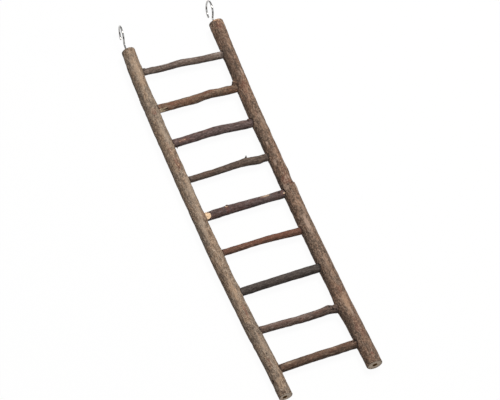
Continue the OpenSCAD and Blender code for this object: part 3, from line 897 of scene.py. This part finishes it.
# %% Make the rails
def make_rail(side, name):
    """A rail: the pith hole and sawn foot, the bark, the sawn head and the pilot hole."""
    points, grain, marks, wear_and_shade, shade_and_tan = rail_skin(side)
    pith = rail_axis(side, 0) + (PITH_X[side], 0, 0)
    bottom = pith + (0, PITH_DEPTH, 0)
    foot = end_face(points[0], pith, PITH_D[side] / 2, 1)
    wall = [foot[-1] + (0, depth, 0) for depth in (0.25, 0.8, PITH_DEPTH)]
    inmost = [bottom + (wall[-1] - bottom) * q for q in (0.7, 0.35, 0.1)]
    first = np.concatenate([foot, wall, inmost])[::-1]
    way = hook_axes(side)[:, 1]
    tip = hook_seat(side) - way * SCREW_LEN
    head = end_face(points[-1], hook_seat(side), WIRE_D / 2 + SCREW_GAP, -1)
    hole = [head[-1] - way * depth for depth in (0.4, 2, 6, SCREW_LEN - POINT_LEN)]
    hole += [tip + (hole[-1] - tip) * q for q in (0.6, 0.3, 0.1)]
    last = np.concatenate([head, hole])
    from_foot = last - rail_axis(side, RAIL_LEN[side]) + (0, RAIL_LEN[side], 0)
    wear_and_shade = capped(first, wear_and_shade, last, (0, 1, 0))
    # Painted shade down the hook's pilot hole
    wear_and_shade[-len(last):, :, 2] = np.abs(from_foot[..., 1] - RAIL_LEN[side]) > 0.2
    skin = Skin()
    skin.add(
        np.concatenate([first, points, last]),
        np.concatenate([first - pith, grain, from_foot]),
        capped(first, marks, last), wear_and_shade, capped(first, shade_and_tan, last))
    print(name, "has rings of bark:", len(points), "of its foot and head:", len(first), len(last))
    return skin.make(name)


bark_pieces = {
    "rail_left": make_rail(LEFT, "left_rail_branch"),
    "rail_right": make_rail(RIGHT, "right_rail_branch"),
}

# %% [markdown]
# A rung is a thinner branch whose ends are whittled. The knife leaves flats that run
# out along the bark, and where they cut through it the cream wood shows, most of all at
# the left ends of rungs 2 and 5. A nub or thorn, what is left of a side twig, is a small
# stack of rings of its own, rooted inside the rung and flared where it leaves the bark.

# %% Marks on the rungs
RUNG_BARE = (
    (),
    ((-44, 138, 2, 1.2, 95), (-41, 129, 3.4, 0.5, 85), (-42.4, 174, 3, 2, 85)),
    ((-34.6, 104, 2.8, 1, 50), (-38.5, 112, 1.6, 0.9, 40)), (),
    ((-20.5, 64, 1.6, 0.9, 60), (45.4, 108, 1.1, 0.9, 75)), (), (), (),
    ((-33, 84, 2, 1.2, 50),),
)
RUNG_DARK = (
    ((-45, 60, 1.5, 3, 40), (18, 70, 3, 1, 30)),
    ((-38.5, 150, 3.2, 0.6, 60), (37, 30, 2, 0.8, 70), (44, 60, 1.6, 1.2, 60)),
    ((-42, 180, 2.5, 2.5, 80), (2.5, 50, 0.7, 3.5, 50), (45.5, 62, 1.4, 1, 70)),
    ((22, 22, 3, 2.4, 60), (32.6, 128, 1.1, 0.8, 65), (37, 96, 1, 0.8, 50),
     (27, 78, 1.6, 0.9, 30), (41, 66, 1.2, 1.2, 40)),
    ((-17.5, 100, 1, 2.5, 45), (40.5, 90, 1.6, 2.4, 50)),
    ((14, 80, 1.2, 0.8, 25),),
    ((-16, 100, 1.2, 0.9, 30),),
    ((37.3, 108, 1.6, 1.4, 95), (34.4, 84, 1.2, 1, 80), (41, 124, 1.2, 0.9, 70),
     (-45, 80, 1.6, 2.5, 50)),
    ((43, 64, 1.8, 1.5, 90), (-45, 90, 1.4, 3, 50)),
)
RUNG_RUDDY = (
    (),
    ((-27, 96, 8, 2.6, 40), (-14, 88, 12, 2.4, 35), (10, 80, 16, 3, 35)),
    ((-33, 106, 6, 2.4, 45), (-4, 60, 7, 1.8, 35)),
    ((-30, 90, 14, 3, 30),),
    ((-20, 76, 2.4, 1.8, 50), (-20, 118, 2.4, 3, 55), (44, 96, 3.4, 2.6, 40),
     (14, 90, 12, 2.2, 25)),
    ((10, 90, 40, 3, 35),), (),
    ((-24, 90, 18, 3, 30), (24, 80, 9, 2.4, 30)),
    ((4, 90, 20, 3, 35), (34, 84, 7, 2.6, 35)),
)
RUNG_PALE = (
    ((8, 76, 10, 1.4, 40), (40, 76, 5, 1.6, 70), (-20, 60, 9, 1.2, 35)),
    ((30, 60, 10, 1.2, 35),),
    ((18, 50, 14, 1.2, 40), (36, 56, 7, 1.6, 40)),
    ((40, 60, 6, 1.4, 30),),
    ((6, 40, 30, 1.4, 40), (24.5, 60, 4.2, 1.3, 60), (44.8, 100, 1.6, 1.6, 70)), (),
    ((0, 70, 34, 1.8, 25),),
    ((-28, 70, 12, 1.6, 50), (2, 74, 12, 1.6, 45), (20, 60, 8, 1.2, 40)),
    ((-31, 76, 8, 1.6, 55), (16, 60, 14, 1.4, 40)),
)
RUNG_TAN = (
    (),
    ((-10, 70, 12, 1.2, 30), (24, 84, 8, 1.6, 30), (-33, 60, 4, 1.2, 35)), (), (),
    ((24.5, 58, 4.6, 1.6, 95),), (), (),
    ((-40, 80, 3, 1.4, 30),),
    ((-35, 74, 2.6, 1.4, 55), (0, 80, 20, 1.4, 25)),
)
RUNG_MARKS = dict(
    bare=RUNG_BARE, dark=RUNG_DARK, ruddy=RUNG_RUDDY, pale=RUNG_PALE, tan=RUNG_TAN)
# How far from its left shoulder rung 5 is peeled, at angles round it
PEEL_ANGLES = (0, 30, 60, 80, 105, 126, 145, 157, 185, 210, 230, 360)
PEEL_REACH = (0, 1.8, 5.4, 7, 7.7, 7.4, 5.6, 3.6, 2.2, 1.3, 0, 0)
RUNG_DEPTHS = (
    (0.05, 0.07, 0.05, 0.03), (0.06, 0.07, 0.07, 0.03), (0.05, 0.06, 0.05, 0.025),
    (0.06, 0.07, 0.06, 0.03), (0.05, 0.07, 0.06, 0.03), (0.04, 0.05, 0.04, 0.02),
    (0.05, 0.06, 0.06, 0.04), (0.06, 0.07, 0.08, 0.04), (0.06, 0.07, 0.07, 0.03),
)
for kind, rows in RUNG_MARKS.items():
    print(kind, "spots on the rungs:", sum(len(row) for row in rows))

# %% The form of a rung
def freedom(k, s):
    """0 in the true round of rung k's ends and 1 where it swells and bends as it likes."""
    return smooth((np.minimum(s, body_len(k) - s) - TRUE_LEN) / RUN_OUT)


def rung_radius(k, s, a):
    """Radius of rung k at s from its left shoulder: bark as on a rail, fading to a true
    round at both ends, less what the knife cuts away. Gives the bark's radius too."""
    length, free = body_len(k), freedom(k, s)
    m = s - length / 2
    taper = end_d(k, LEFT) + (end_d(k, RIGHT) - end_d(k, LEFT)) * smooth(s / length)
    bark = (taper + free * humps(RUNG_SWELLS[k - 1], m, 1, 2)) / 2
    bark = bark * (1 + free * (oval(3 * s, a, 50 * k) - 1)) + free * knots(RUNG_KNOTS[k - 1], m, a)
    cut = bark
    for end, angle, long, depth in RUNG_CUTS[k - 1]:
        from_end = s if end == LEFT else length - s
        off = turn_between(a, angle)
        reach = smooth((long + TRUE_LEN - from_end) / long) * smooth(from_end / TRUE_LEN)
        cut = np.minimum(cut, (bark - depth * reach) / np.where(np.abs(off) < 80, cosd(off), 0.01))
    return cut, bark


def rung_middle(k, s):
    """Rung k's middle line at s, in its own frame: straight from shoulder to shoulder,
    plus the humps of its bends times its freedom."""
    m, bends = s - body_len(k) / 2, RUNG_BENDS[k - 1]
    return join(shoulder(k, LEFT) + s, freedom(k, s) * humps(bends, m, 1, 3),
                freedom(k, s) * humps(bends, m, 2, 3))


def rung_grain(points, k):
    """Where points of rung k's frame lie in its grain: across, along, across."""
    return (points - (shoulder(k, LEFT), 0, 0))[..., [1, 0, 2]]


print("between their seats the rungs are", [round(body_len(k)) for k in range(1, 10)], "mm")

# %% Tenons, nubs and thorns
STUB_SIDES = 28
# How far each ring of a tenon lies behind the shoulder, and its radius
TENON_RINGS = (
    (TENON_LEN, 0.6), (TENON_LEN, 2.2), (TENON_LEN - 0.4, TENON_D / 2), (5, TENON_D / 2),
    (3, TENON_D / 2), (1, TENON_D / 2), (0, TENON_D / 2), (0, 3.1))


def tenon_rings(k, side, a):
    """The whittled tenon from its tip out to the shoulder, with eight faint knife flats:
    the radius loses 3% of 1 less the size of cos 4 a."""
    flats = 1 - 0.03 * (1 - np.abs(cosd(4 * a)))
    return np.array([
        join(shoulder(k, side) - back, r * flats * cosd(a), r * flats * sind(a))
        for back, r in TENON_RINGS])


def stub_skin(k, stub):
    """A nub or thorn: rings along a short line from inside the rung outwards. Its radius
    goes from base to tip, with a flare where it leaves the bark, and a domed end."""
    place, angle, base_d, tip_d, height, lean = stub
    s0 = np.float64(place + body_len(k) / 2)
    surface = rung_radius(k, s0, np.float64(angle))[0]
    root = surface / 2
    out, along = join(0, cosd(angle), sind(angle)), np.array([1, 0, 0])
    way = out * cosd(lean) + along * sind(lean)
    across = along * cosd(lean) - out * sind(lean)
    total = surface - root + height
    t = np.concatenate([np.linspace(0, 0.93, 18), [0.965, 0.988, 1.0]])
    skin_t = (surface - root) / total
    bulk = (base_d + (tip_d - base_d) * t) / 2
    bulk = bulk + 0.3 * bell((t - skin_t) * total, 0.5) * (t < 0.93)
    bulk[-3:] = tip_d / 2 * np.array([0.93, 0.72, 0.3])
    a = np.arange(STUB_SIDES) * 360 / STUB_SIDES
    bumpy = 1 + 0.06 * cosd(3 * a + 90 * k) + 0.04 * cosd(5 * a - 40 * k)
    ring = cosd(a)[:, None] * across + sind(a)[:, None] * np.cross(way, across)
    line = rung_middle(k, s0) + out * root + way * (t * total)[:, None]
    points = line[:, None] + ring * (bulk[:, None] * bumpy)[..., None]
    top = smooth((t - skin_t) / (1 - skin_t) * 3 - 2)[:, None] + 0 * a
    return points, rung_grain(points, k), join(0.3 * top, 0.45 * (1 - top), 0.3 * top)


print("rings of a tenon:", len(TENON_RINGS), "and sides of a stub:", STUB_SIDES)

# %% Make the rungs
RUNG_SIDES = 56
RUNG_STEP, RUNG_CELL = 0.42, 0.5
PEELED, FLARED, FLARE = 5, 8, 0.6


def make_rung(k, name):
    """A rung: tenon, bark with its cuts and marks, and the other tenon, then its stubs."""
    start, rung_axes, span = rung_frame(k)
    length = body_len(k)
    a1 = np.arange(RUNG_SIDES) * 360 / RUNG_SIDES
    s, a = np.meshgrid(
        np.concatenate([[0, 0.1, 0.25], np.linspace(0.5, length - 0.5, int(length / RUNG_STEP)),
                        [length - 0.25, length - 0.1, length]]), a1, indexing="ij")
    m, from_end = s - length / 2, np.minimum(s, length - s)
    r, bark = rung_radius(k, s, a)
    cut = smooth((bark - r - 0.12) / 0.3)
    relief = bark_relief(s.shape, (RUNG_STEP, RUNG_CELL), 100 + 10 * k, RUNG_DEPTHS[k - 1])
    relief = relief * (1 - 0.8 * cut) * smooth(from_end / 3)
    if k == FLARED:
        relief = relief + FLARE * bell(length - s - 3.2, 2.4)
    points = rung_middle(k, s) + (r + relief)[..., None] * join(0, cosd(a), sind(a))
    mark = marked(RUNG_MARKS, k - 1, m, a, r)
    whittled = 0.3 * cut
    if k == PEELED:
        whittled = smooth((np.interp(a, PEEL_ANGLES, PEEL_REACH) - s) / 0.6 + 0.5)
    bare = np.maximum(mark["bare"], whittled)
    # Painted shade: darker over the last 2.6 mm towards each rail, and on the hidden tenons
    crease_shade = 0.8 * np.clip(1 - (from_end - 1.0) / 1.6, 0, 1)
    first, last = tenon_rings(k, LEFT, a1), tenon_rings(k, RIGHT, a1)[::-1]
    last[..., 0] = span - last[..., 0]
    skin = Skin()
    skin.add(
        start + np.concatenate([first, points, last]) @ rung_axes,
        np.concatenate([rung_grain(first, k), join(r * cosd(a), s, r * sind(a)),
                        rung_grain(last, k)]),
        capped(first, join(bare, mark["dark"], mark["ruddy"]), last, (1, 0, 0)),
        capped(first, join(mark["pale"], 0, crease_shade), last, (0, 0, 0.6)),
        capped(first, join(0, mark["tan"], 0), last), flip=True)
    for stub in RUNG_STUBS[k - 1]:
        stub_points, *stub_sets = stub_skin(k, stub)
        skin.add(start + stub_points @ rung_axes, *stub_sets, flip=True)
    piece = skin.make(name)
    print(name, "is", round(length, 1), "mm between its seats,", skin.triangles, "triangles")
    return piece


for number in range(1, len(RUNG_D) + 1):
    bark_pieces[f"rung_{number}"] = make_rung(number, f"rung_{number}_branch")

# %% [markdown]
# A hook is one length of plated steel wire: a screw thread and point, a plain shank, a
# tight bend and an open loop with a filed tip. It is a circle carried along the line,
# whose radius follows a spiral while it is in the wood.

# %% Make the hooks
WIRE_SIDES = 32
SCREW_RINGS = 240
THREAD_PITCH, THREAD_ROOT, THREAD_END = 1.1, 0.78, -0.6
TIP_ROUND = 0.75
# How far each of the tip's rings lies past the loop's end
TIP_STEPS = np.array([0.2, 0.4, 0.55, 0.66, 0.72])


def hook_line(side):
    """The wire's middle line in the hook's own plane of Y and Z, as y, z, direction and
    radius: the screw and shank, the bend's arc, the loop's arc and the rounded tip."""
    bend_angle = math.degrees(math.asin(BEND_R / (LOOP_R + BEND_R)))
    middle = SHANK[side] + LOOP_R
    start = middle - math.sqrt(LOOP_R ** 2 + 2 * LOOP_R * BEND_R)
    straight = np.concatenate([
        np.linspace(-SCREW_LEN, 0, SCREW_RINGS), np.linspace(0.2, start, 24)])
    turn = np.linspace(-90, -bend_angle, 26)[1:]
    loop = np.linspace(180 - bend_angle, MOUTH[side] - 180, 150)[1:]
    y = np.concatenate([straight, start + BEND_R * cosd(turn), middle + LOOP_R * cosd(loop)])
    z = np.concatenate([0 * straight, BEND_R + BEND_R * sind(turn), LOOP_R * sind(loop)])
    heading = np.concatenate([0 * straight, turn + 90, loop - 90, 0 * TIP_STEPS + loop[-1] - 90])
    y = np.concatenate([y, y[-1] + TIP_STEPS * cosd(heading[-1])])
    z = np.concatenate([z, z[-1] + TIP_STEPS * sind(heading[-1])])
    radius = np.full(len(y), WIRE_D / 2)
    radius[-len(TIP_STEPS):] *= np.sqrt(1 - (TIP_STEPS / TIP_ROUND) ** 2)
    return y, z, heading, radius


def make_hook(side, name):
    """The wire as rings across its line. In the wood the radius goes up and down with
    the turn of a spiral, and narrows to the point."""
    y, z, heading, radius = hook_line(side)
    a = np.arange(WIRE_SIDES) * 360 / WIRE_SIDES
    in_wood = (y < THREAD_END) & (np.arange(len(y)) < SCREW_RINGS)
    spiral = np.abs(((y[:, None] / THREAD_PITCH - a / 360) % 1) - 0.5) * 2
    crest = THREAD_ROOT + (WIRE_D / 2 - THREAD_ROOT) * smooth(spiral * 1.6 - 0.3)
    point = np.clip((y + SCREW_LEN) / POINT_LEN, 0.06, 1)[:, None]
    r = np.where(in_wood[:, None], crest * point, radius[:, None])
    up = join(0, -sind(heading), cosd(heading))
    ring = cosd(a)[:, None] * up[:, None] + join(sind(a), 0, 0)
    points = hook_seat(side) + (join(0, y, z)[:, None] + ring * r[..., None]) @ hook_axes(side).T
    along = np.concatenate([[0], np.cumsum(np.hypot(np.diff(y), np.diff(z)))])
    skin = Skin()
    skin.add(points, join(r * cosd(a), along[:, None], r * sind(a)), flip=True)
    print(name, "uses", round(float(along[-1])), "mm of wire")
    return skin.make(name)


hook_pieces = {
    "hook_left": make_hook(LEFT, "left_screw_hook"),
    "hook_right": make_hook(RIGHT, "right_screw_hook"),
}

# %% [markdown]
# One recipe serves all the bark. From large to small: patches between a warm and a grey
# tone, mottling of half a centimetre, flecks of two millimetres, streaks along the grain,
# grit of a millimetre and fine specks, with scattered pale flecks and thin dark cracks.
# Over them lie the marks, each with a ragged edge: painted shade where the rails turn from
# the light, rubbed tan, ruddy and pale bark, bare wood, dark knots with painted shadow
# under the right rail's ledge, the sawn ends, and painted shade in the joints and holes.
# Noise is measured on the grain numbers, so nothing slides across a bend or shows a seam.

# %% Tones of the bark
RAIL_CONTRAST, RUNG_CONTRAST = 1.8, 1.1
# The share of grit in the mixture of noises, where it isn't the common one
GRIT_SHARE = {"rail_left": 0.3, "rail_right": 0.4, "rung_2": 0.4}
COMMON_GRIT = 0.26
# The light, dark, warm and grey tones, bare wood, knots, ruddy bark and pale bark
TONES = {
    "rail_left": "ae9983 5c4f44 a4876e 8f8275 c4a486 35241d 8c5f4c c0ad9a",
    "rail_right": "a68b77 463930 8c6a54 776759 ba977b 261c17 7d4f40 b39b8a",
    "rung_1": "867469 423832 766157 786b62 a08a72 2a2320 6e5146 a3958d",
    "rung_2": "94745f 44332a 856049 756453 e6d2b0 2a1f1a 7c4a3a 9c8779",
    "rung_3": "7c6762 40332f 725852 6d5f5e c09a7c 241b1a 7d5348 8d7b78",
    "rung_4": "766459 40352f 6c574a 66594f 9c8468 221b17 6b4c40 82736a",
    "rung_5": "735f5a 382c2a 6a4f48 5f5452 ffdcb4 231a19 774a40 7a7070",
    "rung_6": "86624f 4a332a 7d5342 75574a a9805f 261a15 824f3c 8f7262",
    "rung_7": "5d544e 332d2a 534841 534c47 8c7a68 1f1a19 584540 716866",
    "rung_8": "826c60 3c302a 70554a 6a5c54 a68c74 1f1715 71493c 9c8b84",
    "rung_9": "7d6353 3c2e26 725240 66564a b09a84 251b16 76503f 998371",
}
print("tones for", len(TONES), "branches")

# %% Bark material
def bark_material(name, tones, seed, grit_share, contrast):
    """tones is a row of TONES, grit_share the share of grit in the mixture of noises, and
    contrast spreads that mixture."""
    material = bpy.data.materials.new(name)
    nodes = Nodes(material)
    light, dark, warm, grey, bare_wood, knot_brown, ruddy_bark, pale_bark = map(
        paint, tones.split())
    grain, marks, wear_and_shade, shade_and_tan = (
        nodes.add("Attribute", out="Vector", attribute_name=label) for label in SETS)

    def noise(across, along, detail, shift):
        """Noise of so many waves a millimetre across and along the grain."""
        moved = (seed * 3.7 + shift, seed * 1.3, shift)
        place = nodes.add("VectorMath", {0: grain, 1: (across, along, across), 2: moved},
                          operation="MULTIPLY_ADD")
        return nodes.add("TexNoise", {
            "Vector": place, "Scale": 1.0, "Detail": detail, "Roughness": 0.55})

    patches = noise(0.05, 0.02, 2, 0)
    tint = noise(0.3, 0.14, 2, 5)
    mottling = noise(0.28, 0.14, 3, 11).sharpened(4)
    flecks = noise(0.6, 0.3, 3, 17).sharpened(5)
    streaks = noise(1.2, 0.14, 3, 23).sharpened(4)
    grit = noise(1.0, 0.6, 2, 41).sharpened(5)
    specks = noise(2.2, 1.1, 3, 37).sharpened(4)
    pale_flecks = noise(0.6, 0.24, 1, 53).sharpened(8, 0.66)
    cracks = 1 - noise(0.75, 0.13, 1, 67).sharpened(8, 0.33)
    bare, knot_and_ledge_shadow, ruddy = nodes.split(marks)
    pale, sawn, crease_shade = nodes.split(wear_and_shade)
    painted_shade, tan, _ = nodes.split(shade_and_tan)
    coarse = mottling * 0.26 + flecks * 0.34 + streaks * 0.28 + specks * 0.12
    height = coarse * (1 - grit_share) + grit * grit_share
    # Painted shade lowers the level where the rails turn from the light
    level = (height - 0.5) * contrast + 0.5 + (pale + tan).held() * 0.16 - painted_shade * 0.14
    ragged = grit * 0.5 + mottling * 0.5
    tone = nodes.blend((patches * 0.5 + tint * 0.5).sharpened(7), grey, warm)
    tone = nodes.blend(pale * 0.8, nodes.blend(tan * 0.6, tone, bare_wood), pale_bark)
    colour = nodes.blend(0.5, nodes.blend(level.sharpened(1.5), dark, light), tone)
    for share, laid_over in (
            ((1 - level.sharpened(2.2)) * 0.5, dark),
            (pale_flecks * 0.6, pale_bark),
            (cracks * 0.5, knot_brown),
            # painted shade where the rails turn from the light
            ((painted_shade * 1.3 - ragged * 0.4).held() * 0.55, dark),
            ((tan * 1.6 - flecks * 0.7 - grit * 0.7).held() * 0.5, bare_wood),
            ((ruddy * 1.3 - ragged * 0.5).held(), ruddy_bark),
            ((pale * 1.8 - flecks * 0.7 - grit * 0.6).held() * 0.7, pale_bark),
            ((bare * 2.2 - ragged * 0.8).sharpened(2),
             nodes.blend(streaks * 0.45, bare_wood, warm)),
            # dark knots, and the painted shadow along the right rail's ledge
            ((knot_and_ledge_shadow * 1.6 - ragged * 0.6).held(), knot_brown),
            (sawn, end_grain(nodes, grain, specks)),
            # painted shade in the joints and holes, in knot brown
            ((crease_shade * 1.2 - ragged * 0.3).held(), knot_brown)):
        colour = nodes.blend(share, colour, laid_over)
    bump = nodes.add("Bump", {"Strength": 0.55, "Distance": 0.00035, "Height": height})
    nodes.surface("BsdfPrincipled", {
        "Base Color": colour, "Roughness": (0.85 - streaks * 0.12 - bare * 0.1).held(),
        "Specular IOR Level": 0.25, "Normal": bump})
    return material


print("the bark recipe lays", len(SETS), "sets of numbers over its noise")

# %% End grain and the bark of each branch
def end_grain(nodes, grain, specks):
    """The sawn ends: growth rings by the distance from the brown pith, and a darker rim."""
    x, _, z = nodes.split(grain)
    from_pith = x.math("SQRT", x * x + z * z)
    rings = (x.math("SINE", (from_pith + specks * 0.5) * 4.6) + 1) * 0.5
    wood = nodes.blend(rings * 0.3, paint("fde8d0"), paint("e2c6a6"))
    wood = nodes.blend(specks * 0.3, wood, paint("e8d2b6"))
    wood = nodes.blend(1 - ((from_pith - 2.7) * 3).held(), wood, paint("84602f"))
    rim = ((from_pith - 6.6) * 3).held()
    return nodes.blend(rim * 0.25, wood, paint("8d7a66"))


for order, (node, piece) in enumerate(bark_pieces.items(), start=1):
    contrast = RAIL_CONTRAST if node.startswith("rail") else RUNG_CONTRAST
    piece.data.materials.append(bark_material(
        f"{node}_bark", TONES[node], order, GRIT_SHARE.get(node, COMMON_GRIT), contrast))
print("bark materials:", len(bark_pieces))

# %% [markdown]
# The hooks are plated with bright zinc or nickel: a mirror with a soft haze, and faint
# lines along the drawn wire. So the metal is smooth, its roughness varies a little from
# place to place, and a fine bump stretched along the wire breaks up its reflections.

# %% Hook material
def plated_wire(name):
    """Mirror-like plating with a soft haze, and fine lines drawn along the wire."""
    material = bpy.data.materials.new(name)
    nodes = Nodes(material)
    grain = nodes.add("Attribute", out="Vector", attribute_name="grain")
    drawn = nodes.add("VectorMath", {0: grain, 1: (6.0, 0.25, 6.0)}, operation="MULTIPLY")
    lines = nodes.add("TexNoise", {"Vector": drawn, "Scale": 1.0, "Detail": 2.0})
    cloud = nodes.add("TexNoise", {"Vector": grain, "Scale": 0.5, "Detail": 3.0})
    haze = cloud.sharpened(3)
    bump = nodes.add("Bump", {"Strength": 0.15, "Distance": 0.00003, "Height": lines})
    nodes.surface("BsdfPrincipled", {
        "Base Color": nodes.blend(haze, paint("a1a09e"), paint("c0bfbd")), "Metallic": 1.0,
        "Roughness": haze * 0.12 + 0.1, "Normal": bump})
    return material


wire_finish = plated_wire("hook_plating")
for piece in hook_pieces.values():
    piece.data.materials.append(wire_finish)
print("hook material made")

# %% [markdown]
# Last, each piece is tied to the frame: it rides on the ladder's one body and stands for
# its solid.

# %% Tie the pieces to the frame
for node, piece in bark_pieces.items():
    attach(piece, "root")
    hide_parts(node)
for node, piece in hook_pieces.items():
    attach(piece, "root")
    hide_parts(node)
